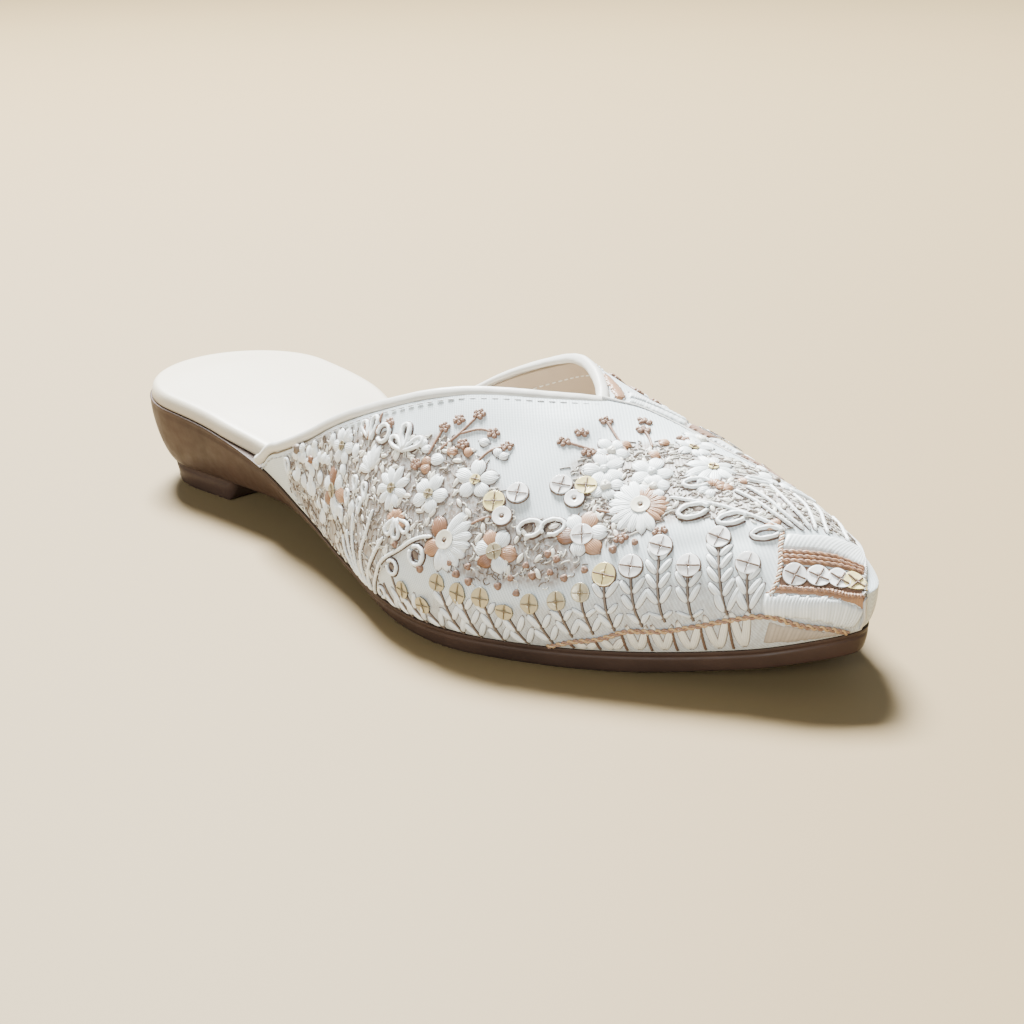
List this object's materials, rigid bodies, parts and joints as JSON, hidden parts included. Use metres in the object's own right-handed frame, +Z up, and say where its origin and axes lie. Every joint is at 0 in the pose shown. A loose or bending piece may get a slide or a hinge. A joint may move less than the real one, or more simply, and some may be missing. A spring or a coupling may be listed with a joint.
{
  "type": "mule",
  "caption": "Backless flat mule for the right foot: moulded sole with a low heel block, padded footbed, one hollow embroidered vamp with a V throat and a rolled topline binding.",
  "frame": {"origin": "on the floor under the centre of the shoe's bounding box, standing on heel and forefoot", "axes": "+X from heel to toe, +Y towards the medial (inner) side, +Z up; -Y is the lateral (outer) side of this right shoe"},
  "size_m": [0.2382, 0.091, 0.0526],
  "materials": {
    "moulded_sole": "warm brown moulded rubber, smooth with a slight sheen",
    "footbed_cover": "cream leatherette over soft padding, semi-matt",
    "embroidered_cloth": "off-white net over satin, covered with thread embroidery and sequins",
    "binding": "cream leatherette rolled over the edge, soft sheen"
  },
  "bodies": {
    "root": {"sole_unit": "moulded_sole", "footbed": "footbed_cover", "upper": "embroidered_cloth", "topline_binding": "binding"}
  },
  "joints": []
}
